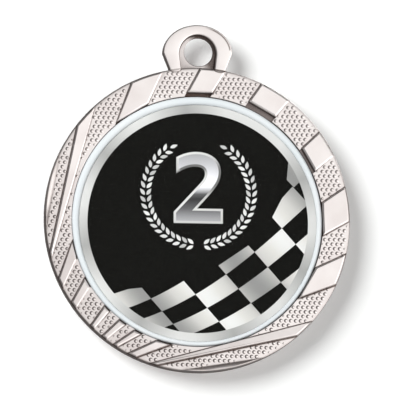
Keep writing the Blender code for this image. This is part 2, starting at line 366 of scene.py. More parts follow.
# ---------------------------------------------------------------- the casting's front as a relief
class Relief:
    """Heights, and patina with painted shade, over the front of the casting."""

    def __init__(self):
        self.bars, self.pockets = bar_shapes()
        self.loop, self.band = arch_shapes()

    def disc(self, radius):
        """The field with its rounded rim, then the steep step down to the loop's web."""
        over = np.clip((radius - (DISC_R - RIM_ROUND)) / RIM_ROUND, 0.0, 1.0)
        rounded = FIELD - RIM_ROUND * (1.0 - np.sqrt(1.0 - over**2 * 0.98))
        step = np.interp(radius, [DISC_R, DISC_R + DISC_STEP], [1.0, 0.0])
        return np.where(radius <= DISC_R, rounded, WEB + (rounded - WEB) * step)

    def profile_of(self, shape):
        """The slivers, last in the list of bars, have a lower and narrower edge."""
        return SLIVER_PROFILE if shape in self.bars[-len(RIM_SLIVERS):] else BAR_PROFILE

    def ring(self, points, height, patina_shade_tone):
        """Cuts the pockets and raises the bars. Pockets get painted shade with patina, and each bar's foot a line
        of patina and painted shade set by the way its edge faces.
        """
        # The pockets are painted dark: painted shade, with patina
        for shape in self.pockets:
            share = np.clip(depth_inside(points, shape) / POCKET_WALL, 0.0, 1.0)
            height = height - POCKET_DROP * share
            patina_shade_tone = np.maximum(patina_shade_tone, share * read_off(points[:, 0], POCKET_SHADE))
        for shape in self.bars:
            profile = self.profile_of(shape)
            depth = depth_inside(points, shape)
            height = np.where(depth > -1e-9, np.maximum(height, read_off(depth, profile)), height)
            # A line of patina and painted shade along each bar's foot, by the way the edge faces
            facing = facing_of(points, shape)
            under = read_off(facing, UNDER_EDGE)
            line = stripe(depth + 0.1 * MM * under, 0.125 * MM * (1.0 + under), 1.3)
            if profile is SLIVER_PROFILE:
                line = line * 0.5
            patina_shade_tone = np.maximum(patina_shade_tone, line * edge_darkness(facing))
        return height, patina_shade_tone

    def loop_and_eye(self, points, radius, height, patina_shade_tone):
        """Raises the arch and rounds the eye, with patina and painted shade round both."""
        band_depth = depth_inside(points, self.band)
        loop_depth = depth_inside(points, self.loop)
        in_loop = (loop_depth > -1e-9) & (band_depth > ARCH_PROFILE[0][0])
        height = np.where(in_loop, np.maximum(height, read_off(band_depth, ARCH_PROFILE)), height)
        # Patina and painted shade in the crease round the arch's foot
        foot = stripe(band_depth + 0.05 * MM, 0.12 * MM, 1.5) * (loop_depth > 0.3 * MM)
        # Painted shade: a dark line just inside the loop's outline, on its right side only
        right_side = read_off(points[:, 0], LOOP_LINE_SHARE) * (points[:, 1] > DISC_R + 4.0 * MM)
        lip_line = stripe(loop_depth - LIP_LINE, 0.1 * MM, 1.4) * right_side
        eye = from_centre(points, EYE_C) - EYE_R
        height = height - EYE_ROUND_DROP * np.clip(1.0 - eye / EYE_ROUND, 0.0, 1.0)
        # Patina and painted shade in the crease where the disc steps down to the loop's web
        step = np.interp(radius, [DISC_R - 0.08 * MM, DISC_R, DISC_R + 0.3 * MM], [0.0, 1.0, 0.25])
        seam = 0.6 * step * (loop_depth > 0.0) * (band_depth < 0.0)
        bearing = np.degrees(np.arctan2(points[:, 1] - EYE_C.y, points[:, 0] - EYE_C.x))
        above = radius > DISC_R
        # Painted shade on the eye's walls and web, by bearing
        shaded = read_off(bearing, EYE_WALL_SHADE) * (loop_depth > 0.0) * (band_depth < 0.02 * MM) * above
        # Painted shade and dark reflection along the loop's outer edge, by bearing
        edge = stripe(loop_depth, 0.24 * MM, 1.0) * above * read_off(bearing, LOOP_EDGE_SHADE)
        for dirt_shade_tone in (foot, lip_line, seam, shaded, edge):
            patina_shade_tone = np.maximum(patina_shade_tone, dirt_shade_tone)
        return height, patina_shade_tone

    def sample(self, points):
        """Height, and patina with painted shade, of many (x, z) points, the beads left out."""
        radius = np.hypot(points[:, 0], points[:, 1])
        height, patina_shade_tone = self.ring(points, self.disc(radius), np.zeros(len(points)))
        height, patina_shade_tone = self.loop_and_eye(points, radius, height, patina_shade_tone)
        lip = np.clip(1.0 - (from_centre(points, TRAY_C) - RECESS_R) / RECESS_LIP, 0.0, 1.0)
        height = height - RECESS_LIP_DROP * lip
        # Painted shade: on the rim's rounding and the recess lip by bearing, and darker towards the lower left
        bearing = np.degrees(np.arctan2(points[:, 1], points[:, 0]))
        rim = np.clip((radius - DISC_R + 0.5 * MM) / (0.3 * MM), 0.0, 1.0) * (radius < DISC_R + 0.01 * MM)
        shade_to_lower_left = read_off(-points[:, 0] * 0.8 - points[:, 1] * 0.6, LOWER_LEFT_SHADE)
        for dirt_shade_tone in (shade_to_lower_left, rim * read_off(bearing, RIM_SHADE), lip * read_off(bearing, LIP_SHADE)):
            patina_shade_tone = np.maximum(patina_shade_tone, dirt_shade_tone)
        return height, patina_shade_tone


def edge_darkness(facing):
    """Patina and painted shade at a bar's foot, set by the way its edge faces: nearly none where it faces right
    towards the bright side of the studio.
    """
    from_bright = np.abs((facing + 36.0 + 180.0) % 360.0 - 180.0)
    return np.interp(from_bright, [14.0, 26.0], [0.05, 1.0])


def bead_centres(relief):
    """Rows of beads over the field, kept off every edge, with the radius each has room for."""
    spots = []
    for row in range(-70, 8):
        z = BEAD_START.y + row * BEAD_PITCH_Z
        shift = BEAD_PITCH_X / 2 * (row % 2)
        for column in range(-34, 42):
            spots.append((BEAD_START.x + shift + column * BEAD_PITCH_X, z))
    spots = np.array(spots)
    radius = np.hypot(spots[:, 0], spots[:, 1])
    recess = from_centre(spots, TRAY_C)
    room = np.minimum(DISC_R - RIM_ROUND - 0.02 * MM - radius, recess - RECESS_R - 0.12 * MM)
    keep = room > 0
    spots, room = spots[keep], room[keep]
    for shape in relief.bars + relief.pockets + [relief.band]:
        room = np.minimum(room, -depth_inside(spots, shape) - 0.05 * MM)
    size = np.minimum(room, BEAD_R)
    keep = size > BEAD_LEAST
    return spots[keep], size[keep]


def relief_mesh(relief):
    """Triangulates the front. Returns points, heights, patina with painted shade, and triangles."""
    points, edges = [], []

    def add(outline):
        first = len(points)
        points.extend(Vector((p.x, p.y)) / MM for p in outline)
        count = len(outline)
        edges.extend((first + i, first + (i + 1) % count) for i in range(count))

    origin = Vector((0.0, 0.0))
    for share in (0.0, 0.35, 0.7, 1.0):
        add(circle(origin, DISC_R - RIM_ROUND * (1.0 - share), 360))
    add(relief.loop)
    step = [p for p in circle(origin, DISC_R + DISC_STEP, 720) if p.y > 0 and abs(p.x) < 8 * MM]
    first = len(points)
    points.extend(p / MM for p in step)
    edges.extend((first + i, first + i + 1) for i in range(len(step) - 1))
    add(circle(TRAY_C, RECESS_R, 256))
    add(circle(TRAY_C, RECESS_R + RECESS_LIP, 256))
    add(circle(EYE_C, EYE_R, 96))
    add(circle(EYE_C, EYE_R + EYE_ROUND, 96))
    for shape in relief.bars:
        for depth in (-0.4 * MM, -0.18 * MM) + tuple(p[0] for p in relief.profile_of(shape)):
            add(tidy(inset(shape, depth)))
    for shape in relief.pockets:
        add(shape)
        add(tidy(inset(shape, POCKET_WALL)))
    for depth in (LIP_LINE - 0.08 * MM, LIP_LINE, LIP_LINE + 0.08 * MM) + tuple(p[0] for p in ARCH_PROFILE):
        add(inset(relief.band, depth))
    plain = len(points)
    bead_rise, bead_darkening = {}, {}
    spots, sizes = bead_centres(relief)
    for (x, z), size in zip(spots, sizes):
        # Each bead: patina at its foot, painted shade on its upper-left side, and more painted shade towards the
        # bottom
        shade_to_bottom = min(max((-x * 0.35 - z * 0.9 + 8.0 * MM) / (30.0 * MM), 0.0), 1.0)
        for (share, rise), dirt_shade_tone in zip(BEAD_PROFILE, BEAD_PATINA_SHADE):
            first = len(points)
            add(circle(Vector((x, z)), size * share, BEAD_SIDES))
            for i in range(BEAD_SIDES):
                shade = math.cos(math.radians(360.0 * i / BEAD_SIDES - 155.0))
                shade += 0.7 * shade_to_bottom
                bead_rise[first + i] = rise * size / BEAD_R
                bead_darkening[first + i] = min(max(0.0, 0.35 + 0.65 * shade), 1.0) * dirt_shade_tone
    made, _, faces, origins, _, _ = delaunay_2d_cdt(points, edges, [], 0, 1e-5, True)
    flat = np.array([(p.x, p.y) for p in made]) * MM
    height, patina_shade_tone = relief.sample(flat)
    for i, sources in enumerate(origins):
        for source in sources:
            if source >= plain:
                height[i] += bead_rise[source]
                patina_shade_tone[i] = max(patina_shade_tone[i], bead_darkening[source])
    tris = np.array(faces)
    middle = flat[tris].mean(axis=1)
    keep = (np.hypot(middle[:, 0], middle[:, 1]) < DISC_R) | (depth_inside(middle, relief.loop) > 0)
    keep &= from_centre(middle, TRAY_C) > RECESS_R * math.cos(math.pi / 256)
    keep &= from_centre(middle, EYE_C) > EYE_R * math.cos(math.pi / 96)
    return flat, height, patina_shade_tone, tris[keep]


# ---------------------------------------------------------------- solids from plan meshes
def boundary_loops(tris):
    """The open edges of a triangulation, chained into loops of point numbers."""
    follows = {}
    edges = set()
    for a, b, c in tris.tolist():
        edges.update(((a, b), (b, c), (c, a)))
    for a, b in edges:
        if (b, a) not in edges:
            follows[a] = b
    loops = []
    while follows:
        start, here = follows.popitem()
        loop = [start]
        while here != start:
            loop.append(here)
            here = follows.pop(here)
        loops.append(loop)
    return loops


def object_from(name, verts, faces, patina_shade_tone=None, smooth_deg=18.0):
    """A mesh object from (x, y, z) points, doubles merged and faces turned outward."""
    mesh = bpy.data.meshes.new(name)
    mesh.from_pydata([tuple(v) for v in verts], [], faces)
    if patina_shade_tone is not None:
        layer = mesh.attributes.new("patina_shade_tone", "FLOAT", "POINT")
        layer.data.foreach_set("value", np.asarray(patina_shade_tone, np.float32))
    bm = bmesh.new()
    bm.from_mesh(mesh)
    bmesh.ops.remove_doubles(bm, verts=bm.verts, dist=1e-7)
    bmesh.ops.dissolve_degenerate(bm, edges=bm.edges, dist=1e-7)
    unused = [v for v in bm.verts if not v.link_faces]
    bmesh.ops.delete(bm, geom=unused, context="VERTS")
    bmesh.ops.recalc_face_normals(bm, faces=bm.faces)
    bm.to_mesh(mesh)
    bm.free()
    mesh.shade_smooth()
    mesh.set_sharp_from_angle(angle=math.radians(smooth_deg))
    made = bpy.data.objects.new(name, mesh)
    bpy.context.scene.collection.objects.link(made)
    return made


class Builder:
    """Collects points, faces and one value a point for one mesh: patina with painted shade on the casting, print
    tone on the print.
    """

    def __init__(self):
        self.verts, self.faces, self.patina_shade_tone = [], [], []

    def add(self, flat, height, patina_shade_tone):
        first = len(self.verts)
        for point, h, dirt_shade_tone in zip(flat, height, patina_shade_tone):
            self.verts.append((point[0], -h, point[1]))
            self.patina_shade_tone.append(dirt_shade_tone)
        return first

    def strip(self, upper, lower):
        count = len(upper)
        for i in range(count):
            j = (i + 1) % count
            self.faces.append((upper[i], lower[i], lower[j], upper[j]))


def triangulate(outlines, keep):
    """Constrained triangles over closed outlines, in millimetres for precision."""
    points, edges = [], []
    for outline in outlines:
        first, count = len(points), len(outline)
        points.extend(Vector((p[0], p[1])) / MM for p in outline)
        edges.extend((first + i, first + (i + 1) % count) for i in range(count))
    made, _, faces, _, _, _ = delaunay_2d_cdt(points, edges, [], 0, 1e-5, False)
    flat = np.array([(p.x, p.y) for p in made]) * MM
    tris = np.array(faces)
    return flat, tris[keep(flat[tris].mean(axis=1))]


# ---------------------------------------------------------------- the casting
GROOVE_R = DISC_R - 2.0 * MM
GROOVE_DEPTH = 0.12 * MM
EJECTOR_R = 1.5 * MM
EJECTOR_RING = 19.0 * MM
EJECTOR_DEPTH = 0.05 * MM
LOOP_BACK_ROUND = 0.2 * MM


def ejector_centres():
    return [on_circle(bearing, EJECTOR_RING) for bearing in (90.0, 210.0, 330.0)]


def back_height(flat, relief):
    """Height of the back: flat disc with a shallow border groove, and the loop a step forward."""
    radius = np.hypot(flat[:, 0], flat[:, 1])
    disc = np.interp(radius, [DISC_R - BACK_CHAMFER, DISC_R], [0.0, BACK_CHAMFER])
    groove = np.interp(np.abs(radius - GROOVE_R), [0.12 * MM, 0.26 * MM], [GROOVE_DEPTH, 0.0])
    disc = disc + groove
    for centre in ejector_centres():
        disc = disc + np.interp(from_centre(flat, centre), [EJECTOR_R - 0.06 * MM, EJECTOR_R], [EJECTOR_DEPTH, 0.0])
    depth = depth_inside(flat, relief.loop)
    loop = LOOP_BACK + np.interp(depth, [0.0, LOOP_BACK_ROUND], [LOOP_BACK_ROUND, 0.0])
    loop = loop + np.interp(from_centre(flat, EYE_C) - EYE_R, [0.0, EYE_ROUND], [EYE_ROUND_DROP, 0.0])
    return np.where(radius <= DISC_R + 1e-6, disc, loop)


def make_casting():
    relief = Relief()
    flat, height, patina_shade_tone, tris = relief_mesh(relief)
    build = Builder()
    build.add(flat, height, patina_shade_tone)
    build.faces.extend(tris.tolist())
    loops = sorted(boundary_loops(tris), key=len)
    eye = next(l for l in loops if abs(flat[l].mean(axis=0)[1] - EYE_C.y) < MM)
    outer = next(l for l in loops if np.hypot(*flat[l].T).max() > DISC_R + MM and l is not eye)
    recess = next(l for l in loops if from_centre(flat[l], TRAY_C).max() < RECESS_R + MM)

    # The recess's wall and floor are painted dark: painted shade down in the recess, with its patina
    low = np.full(len(recess), RECESS_FLOOR)
    first = build.add(flat[recess], low, np.full(len(recess), 0.9))
    foot = list(range(first, first + len(recess)))
    build.strip(recess, foot)
    build.faces.append(tuple(foot))

    rings = {}
    for name, loop in (("outer", outer), ("eye", eye)):
        edge = flat[loop]
        under = back_height(edge, relief)
        upper = loop
        # The side walls of the disc and the eye are painted dark: painted shade and dark reflection, with patina
        for share, dirt_shade_tone in ((0.3, 0.85), (0.8, 0.8)):
            mid = height[loop] * (1.0 - share) + under * share
            first = build.add(edge, mid, np.full(len(loop), dirt_shade_tone))
            lower = list(range(first, first + len(loop)))
            build.strip(upper, lower)
            upper = lower
        first = build.add(edge, under, np.full(len(loop), 0.2))
        lower = list(range(first, first + len(loop)))
        build.strip(upper, lower)
        rings[name] = edge

    origin = Vector((0.0, 0.0))
    outlines = [rings["outer"], rings["eye"], circle(origin, DISC_R - BACK_CHAMFER, 256)]
    outlines += [circle(origin, GROOVE_R + shift * MM, 256) for shift in (-0.26, -0.12, 0.12, 0.26)]
    for centre in ejector_centres():
        outlines += [circle(centre, EJECTOR_R, 48), circle(centre, EJECTOR_R - 0.06 * MM, 48)]
    outlines.append(inset(relief.loop, LOOP_BACK_ROUND))
    outlines.append(circle(EYE_C, EYE_R + EYE_ROUND, 96))
    seam = [p for p in circle(origin, DISC_R, 720) if p.y > 0 and abs(p.x) < 5.8 * MM]
    seam += [p * (1.0 + 0.02 * MM / DISC_R) for p in reversed(seam)]
    outlines.append(seam)

    def inside(middle):
        kept = (np.hypot(middle[:, 0], middle[:, 1]) < DISC_R) | (depth_inside(middle, relief.loop) > 0)
        return kept & (from_centre(middle, EYE_C) > EYE_R * 0.9994)

    flat_b, tris_b = triangulate(outlines, inside)
    back = back_height(flat_b, relief)
    # Darker where the back is sunk: in the groove and the ejector marks
    dirt_shade_tone = np.where(back > 0.02 * MM, 0.45, 0.0) * (np.hypot(*flat_b.T) < DISC_R - MM)
    first = build.add(flat_b, back, dirt_shade_tone)
    build.faces.extend([(a + first, c + first, b + first) for a, b, c in tris_b.tolist()])
    return object_from("cast_medal", build.verts, build.faces, build.patina_shade_tone)


# ---------------------------------------------------------------- turned pieces of the insert
TURN_SIDES = 256


def turned(name, profile, smooth_deg=40.0):
    """A solid with round sections: rows are (centre, radius, height), radius 0 closes it."""
    verts, rings, faces = [], [], []
    for centre, radius, height in profile:
        first = len(verts)
        if radius == 0.0:
            verts.append((centre.x, -height, centre.y))
            rings.append([first])
            continue
        verts.extend((p.x, -height, p.y) for p in circle(centre, radius, TURN_SIDES))
        rings.append(list(range(first, first + TURN_SIDES)))
    for lower, upper in zip(rings, rings[1:]):
        for i in range(TURN_SIDES):
            j = (i + 1) % TURN_SIDES
            corners = [lower[i % len(lower)], lower[j % len(lower)]]
            corners += [upper[j % len(upper)], upper[i % len(upper)]]
            faces.append(tuple(dict.fromkeys(corners)))
    return object_from(name, verts, faces, smooth_deg=smooth_deg)


def make_tray():
    floor = FILM_BACK - 0.03 * MM
    spring = TRAY_BACK + 0.55 * MM
    well = FILM_R - 0.01 * MM
    profile = [(TRAY_C, 0.0, TRAY_BACK), (TRAY_C, TRAY_R - 0.1 * MM, TRAY_BACK)]
    profile.append((TRAY_C, TRAY_R, TRAY_BACK + 0.1 * MM))
    steps = 18
    for i in range(steps + 1):
        angle = math.pi * i / steps
        share = (1.0 - math.cos(angle)) / 2
        centre = TRAY_C.lerp(FILM_C, share)
        radius = TRAY_R + (well - TRAY_R) * share
        profile.append((centre, radius, spring + (TRAY_CROWN - spring) * math.sin(angle) ** 0.8))
    profile += [(FILM_C, well, FILM_FRONT), (FILM_C, well + 0.03 * MM, floor), (FILM_C, 0.0, floor)]
    return turned("tray_rim", profile)


def make_film():
    profile = [(FILM_C, 0.0, FILM_BACK), (FILM_C, FILM_R, FILM_BACK)]
    profile += [(FILM_C, FILM_R, FILM_FRONT), (FILM_C, 0.0, FILM_FRONT)]
    return turned("film_ground", profile)


def make_dome():
    back = DOME_BACK + 0.14 * MM
    edge = DOME_BACK + 0.2 * MM
    radius = FILM_R - 0.02 * MM
    profile = [(FILM_C, 0.0, back), (FILM_C, radius, back)]
    for i in range(13):
        angle = math.pi / 2 * i / 13
        height = edge + (DOME_FRONT - edge) * math.sin(angle)
        profile.append((FILM_C, radius * math.cos(angle), height))
    profile.append((FILM_C, 0.0, DOME_FRONT))
    return turned("resin_dome", profile)


# ---------------------------------------------------------------- the print
FIELD_R = FILM_R - 1.82 * MM  # the black field, inside the silver border
ART_SHIFT = Vector((0.16 * MM, -0.08 * MM))
INK = 0.02 * MM


def printed(name, pieces, tone_of=None, scale=1.0):
    """Thin raised shapes on the film. A piece is (outline about the film's centre, profile)."""
    build = Builder()
    for number, (outline, profile) in enumerate(pieces):
        outline = anticlockwise(tidy(outline, 0.01 * MM))
        about = [FILM_C + ART_SHIFT + p * scale for p in outline]
        rings = [about] + [inset(about, depth) for depth, _ in profile[1:]]
        flat, tris = triangulate(rings, lambda middle, a=about: depth_inside(middle, a) > 0)
        height = FILM_FRONT + read_off(depth_inside(flat, about), profile)
        tone = tone_of(number, flat) if tone_of else np.zeros(len(flat))
        top = build.add(flat, height, tone)
        build.faces.extend([(a + top, b + top, c + top) for a, b, c in tris.tolist()])
        base = build.add(flat, np.full(len(flat), FILM_FRONT + 0.002 * MM), tone)
        build.faces.extend([(a + base, c + base, b + base) for a, b, c in tris.tolist()])
        for loop in boundary_loops(tris):
            build.strip([i + top for i in loop], [i + base for i in loop])
    return object_from(name, build.verts, build.faces, build.patina_shade_tone)


def make_border():
    profile = []
    inner, outer = FIELD_R, FILM_R - 0.03 * MM
    for radius, height in ((inner, 0.002), (inner, 0.02), (inner + 0.1 * MM, 0.03)):
        profile.append((FILM_C, radius, FILM_FRONT + height * MM))
    for radius, height in ((outer - 0.1 * MM, 0.03), (outer, 0.02), (outer, 0.002)):
        profile.append((FILM_C, radius, FILM_FRONT + height * MM))
    profile.append(profile[0])
    return turned("print_border", profile)


def numeral_outline():
    """A bold figure 2, its foot on the film's centre height, drawn about the film's centre."""
    def at(x, z):
        return Vector((x, z)) * MM

    points = [at(-4.84, 14.17)]
    points += bezier(at(-4.84, 14.17), at(-3.4, 15.0), at(-1.9, 15.4), at(-0.45, 15.4), 14)
    points += bezier(at(-0.45, 15.4), at(2.7, 15.4), at(4.8, 13.7), at(4.8, 11.1), 18)
    points += bezier(at(4.8, 11.1), at(4.8, 8.9), at(3.4, 7.4), at(1.9, 5.62), 14)
    points += [at(-0.35, 3.13), at(5.23, 3.13), at(5.23, -0.08), at(-5.39, -0.08), at(-5.39, 2.34)]
    points += [at(0.38, 8.65)]
    points += bezier(at(0.38, 8.65), at(1.05, 9.4), at(1.35, 10.0), at(1.35, 10.7), 10)
    points += bezier(at(1.35, 10.7), at(1.35, 11.7), at(0.6, 12.2), at(-0.72, 12.2), 12)
    points += bezier(at(-0.72, 12.2), at(-2.2, 12.2), at(-3.5, 11.55), at(-4.84, 10.65), 12)
    middle = at(0.0, 7.66)
    return [middle + (p - middle) * NUMERAL_SCALE for p in points]


NUMERAL_SCALE = 0.987
NUMERAL_BEVEL = 0.5 * MM
NUMERAL_PROFILE = ((0.0, 0.02 * MM), (NUMERAL_BEVEL, 0.12 * MM))
NUMERAL_FACE = ((0.0, 0.125 * MM), (0.04 * MM, 0.135 * MM))


def numeral_tone(_, flat):
    """1 on the bevel where it faces up or lies on the foot, 0 where the bowl's bevel turns away."""
    shape = anticlockwise([FILM_C + ART_SHIFT + p for p in numeral_outline()])
    turn = np.cos(np.radians(facing_of(flat, shape) - 112.0))
    bowl = np.interp(turn, [-1.0, -0.2, 0.35, 1.0], [0.3, 0.35, 0.8, 1.0])
    foot = np.interp(turn, [-0.6, 0.2], [0.85, 0.95])
    share = np.interp(flat[:, 1] - FILM_C.y, [5.5 * MM, 8.0 * MM], [0.0, 1.0])
    return foot + (bowl - foot) * share


WREATH_C = Vector((0.0, 6.2 * MM))
WREATH_R_LOW = 10.85 * MM
WREATH_R_HIGH = 11.6 * MM
WREATH_START_DEG = 262.5
WREATH_STEP_DEG = -7.5
WREATH_PAIRS = 19
LEAF_LENGTH = 1.7 * MM
LEAF_WIDTH = 0.74 * MM
LEAF_TILT_DEG = 35.0
LEAF_PROFILE = ((0.0, 0.02 * MM), (0.3 * MM, 0.06 * MM))


def leaf(root, heading_deg):
    """A leaf from its root along a heading: round near the root, pointed at the tip."""
    along = on_circle(heading_deg, 1.0)
    across = Vector((-along.y, along.x))
    left, right = [], []
    for i in range(11):
        t = i / 10
        half = LEAF_WIDTH / 2 * math.sin(math.pi * t**0.85)
        middle = root + along * (LEAF_LENGTH * t)
        left.append(middle + across * half)
        right.append(middle - across * half)
    return right + left[-2:0:-1]


def make_wreath():
    rng = random.Random(2)
    leaves = []
    for side in (1, -1):
        for pair in range(WREATH_PAIRS):
            bearing = WREATH_START_DEG + WREATH_STEP_DEG * pair
            radius = WREATH_R_LOW + (WREATH_R_HIGH - WREATH_R_LOW) * pair / WREATH_PAIRS
            for lean in (1, -1):
                root = on_circle(bearing + 1.5, radius + lean * 0.2 * MM)
                outline = leaf(root, bearing - 90.0 + lean * LEAF_TILT_DEG)
                outline = [WREATH_C + Vector((p.x * side, p.y)) for p in outline]
                leaves.append((outline, LEAF_PROFILE))
        tip_deg = WREATH_START_DEG + WREATH_STEP_DEG * WREATH_PAIRS
        tip = leaf(on_circle(tip_deg + 1.5, WREATH_R_HIGH), tip_deg - 98.0)
        leaves.append(([WREATH_C + Vector((p.x * side, p.y)) for p in tip], LEAF_PROFILE))
    tones = [rng.uniform(0.62, 0.95) for _ in leaves]
    return printed("print_wreath", leaves, lambda n, flat: np.full(len(flat), tones[n]))


# The flag's squares are drawn on a grid that runs along ALONG and falls across it. Row lines
# are waves; the lines across the flag are straight and evenly spaced.
FLAG_ALONG = Vector((0.751, 0.66))
FLAG_ACROSS = Vector((0.66, -0.751))
FLAG_FIRST = -25.8 * MM
FLAG_PITCH = 7.7 * MM
FLAG_CLIP_R = FIELD_R + 0.3 * MM


def flag_line(row, v):
    """How far down the flag row line lies at the place v along it, both in metres."""
    t = v / MM
    wave = 7.96 + 0.0268 * t - 0.00472 * t * t + 0.000085 * t**3
    return (wave + row * (4.05 + 0.029 * t)) * MM


def flag_point(u, v):
    return FLAG_ACROSS * u + FLAG_ALONG * v


def flag_cell(column, row, top=None):
    """One square, its long sides following the row lines. top replaces its upper side."""
    left = FLAG_FIRST + FLAG_PITCH * column
    stops = [left + FLAG_PITCH * i / 6 for i in range(7)]
    lower = [flag_point(flag_line(row + 1, v), v) for v in stops]
    upper = [flag_point(flag_line(row, v), v) for v in reversed(stops)]
    return lower + (top if top else upper)


def make_flag():
    def at(x, z):
        return Vector((x, z)) * MM

    ragged = {
        (0, -1): [at(-10.21, -15.77), at(-11.97, -13.76), at(-14.77, -14.1), at(-19.0, -15.55)],
        (3, 0): [at(10.46, -4.48), at(4.18, -8.82)],
        (5, 0): [at(19.81, 8.16), at(17.59, 5.67), at(15.5, 1.56)],
        (6, -1): [at(25.0, 14.0), at(18.95, 13.6), at(18.6, 9.58)],
    }
    cells = []
    rim = circle(Vector((0.0, 0.0)), FLAG_CLIP_R, 180)
    for column in range(7):
        for row in range(-1, 5):
            if (column + row) % 2 == 0 or (row == -1 and (column, row) not in ragged):
                continue
            cell = anticlockwise(flag_cell(column, row, ragged.get((column, row))))
            for a, b in zip(rim, rim[1:] + rim[:1]):
                normal = Vector((a.y - b.y, b.x - a.x)).normalized()
                cell = clip(cell, normal, normal.dot(a)) if cell else cell
            if len(cell) > 2:
                cell = tidy(cell, 0.05 * MM)
            if len(cell) > 2 and abs(area(cell)) > 0.2 * MM * MM:
                cells.append((cell, ((0.0, 0.012 * MM), (0.05 * MM, 0.02 * MM))))
    return printed("print_flag", cells, scale=1.011)


# ---------------------------------------------------------------- materials
def new_material(name):
    material = bpy.data.materials.new(name)
    material.use_nodes = True
    nodes = material.node_tree.nodes
    return material, nodes, material.node_tree.links, nodes["Principled BSDF"]


def ramp(nodes, stops, interpolation="LINEAR"):
    node = nodes.new("ShaderNodeValToRGB")
    node.color_ramp.interpolation = interpolation
    elements = node.color_ramp.elements
    for place, _ in stops[2:]:
        elements.new(place)
    for element, (place, colour) in zip(elements, stops):
        element.position = place
        element.color = (*colour, 1.0)
    return node


def grey(value):
    return (value, value, value * 0.985)


def cast_metal():
    """Satin silver plate on a cast skin, brown-black where the relief holds patina and where painted shade and
    painted dark reflections are laid on.
    """
    material, nodes, links, shader = new_material("cast_metal")
    place = nodes.new("ShaderNodeTexCoord")
    dirt_shade_tone = nodes.new("ShaderNodeAttribute")
    dirt_shade_tone.attribute_name = "patina_shade_tone"
    mottle = nodes.new("ShaderNodeTexNoise")
    mottle.inputs["Scale"].default_value = 160.0
    mottle.inputs["Detail"].default_value = 4.0
    links.new(place.outputs["Object"], mottle.inputs["Vector"])
    silver = ramp(nodes, [(0.3, (0.72, 0.665, 0.655)), (0.7, (0.80, 0.755, 0.745))])
    links.new(mottle.outputs["Fac"], silver.inputs["Fac"])
    grain = nodes.new("ShaderNodeTexNoise")
    grain.inputs["Scale"].default_value = 5200.0
    grain.inputs["Detail"].default_value = 3.0
    links.new(place.outputs["Object"], grain.inputs["Vector"])
    spread = nodes.new("ShaderNodeMath")
    spread.operation = "MULTIPLY_ADD"
    links.new(grain.outputs["Fac"], spread.inputs[0])
    spread.inputs[1].default_value = 0.5
    spread.inputs[2].default_value = -0.25
    stain_and_shade = nodes.new("ShaderNodeMath")
    stain_and_shade.operation = "ADD"
    stain_and_shade.use_clamp = True
    links.new(dirt_shade_tone.outputs["Fac"], stain_and_shade.inputs[0])
    fade = nodes.new("ShaderNodeMath")
    fade.operation = "MULTIPLY"
    links.new(spread.outputs[0], fade.inputs[0])
    links.new(dirt_shade_tone.outputs["Fac"], fade.inputs[1])
    links.new(fade.outputs[0], stain_and_shade.inputs[1])
    mix = nodes.new("ShaderNodeMix")
    mix.data_type = "RGBA"
    links.new(stain_and_shade.outputs[0], mix.inputs["Factor"])
    links.new(silver.outputs["Color"], mix.inputs["A"])
    # Brown-black for patina, used also for painted shade and painted dark reflections
    mix.inputs["B"].default_value = (0.10, 0.068, 0.058, 1.0)
    links.new(mix.outputs["Result"], shader.inputs["Base Color"])
    rough = nodes.new("ShaderNodeMapRange")
    links.new(stain_and_shade.outputs[0], rough.inputs["Value"])
    rough.inputs["To Min"].default_value = 0.36
    rough.inputs["To Max"].default_value = 0.62
    links.new(rough.outputs["Result"], shader.inputs["Roughness"])
    stretch = nodes.new("ShaderNodeMapping")
    stretch.inputs["Rotation"].default_value = (0.0, math.radians(52.0), 0.0)
    stretch.inputs["Scale"].default_value = (700.0, 3500.0, 6500.0)
    links.new(place.outputs["Object"], stretch.inputs["Vector"])
    brushed = nodes.new("ShaderNodeTexNoise")
    brushed.inputs["Scale"].default_value = 1.0
    brushed.inputs["Detail"].default_value = 3.0
    links.new(stretch.outputs["Vector"], brushed.inputs["Vector"])
    bump = nodes.new("ShaderNodeBump")
    bump.inputs["Strength"].default_value = 0.22
    bump.inputs["Distance"].default_value = 0.02 * MM
    links.new(brushed.outputs["Fac"], bump.inputs["Height"])
    links.new(bump.outputs["Normal"], shader.inputs["Normal"])
    shader.inputs["Metallic"].default_value = 1.0
    return material


def tray_coat():
    """Gloss pale blue-white lacquer with a faint orange peel."""
    material, nodes, links, shader = new_material("tray_coat")
    place = nodes.new("ShaderNodeTexCoord")
    cloud = nodes.new("ShaderNodeTexNoise")
    cloud.inputs["Scale"].default_value = 60.0
    links.new(place.outputs["Object"], cloud.inputs["Vector"])
    tint = ramp(nodes, [(0.3, (0.72, 0.765, 0.795)), (0.7, (0.80, 0.83, 0.85))])
    links.new(cloud.outputs["Fac"], tint.inputs["Fac"])
    links.new(tint.outputs["Color"], shader.inputs["Base Color"])
    peel = nodes.new("ShaderNodeTexNoise")
    peel.inputs["Scale"].default_value = 1500.0
    links.new(place.outputs["Object"], peel.inputs["Vector"])
    bump = nodes.new("ShaderNodeBump")
    bump.inputs["Strength"].default_value = 0.08
    bump.inputs["Distance"].default_value = 0.01 * MM
    links.new(peel.outputs["Fac"], bump.inputs["Height"])
    links.new(bump.outputs["Normal"], shader.inputs["Normal"])
    shader.inputs["Roughness"].default_value = 0.3
    return material


def black_ink():
    material, nodes, links, shader = new_material("black_ink")
    place = nodes.new("ShaderNodeTexCoord")
    speck = nodes.new("ShaderNodeTexNoise")
    speck.inputs["Scale"].default_value = 2500.0
    links.new(place.outputs["Object"], speck.inputs["Vector"])
    tint = ramp(nodes, [(0.3, (0.0075, 0.0075, 0.0068)), (0.7, (0.011, 0.011, 0.010))])
    links.new(speck.outputs["Fac"], tint.inputs["Fac"])
    links.new(tint.outputs["Color"], shader.inputs["Base Color"])
    shader.inputs["Roughness"].default_value = 0.6
    shader.inputs["Specular IOR Level"].default_value = 0.0
    return material


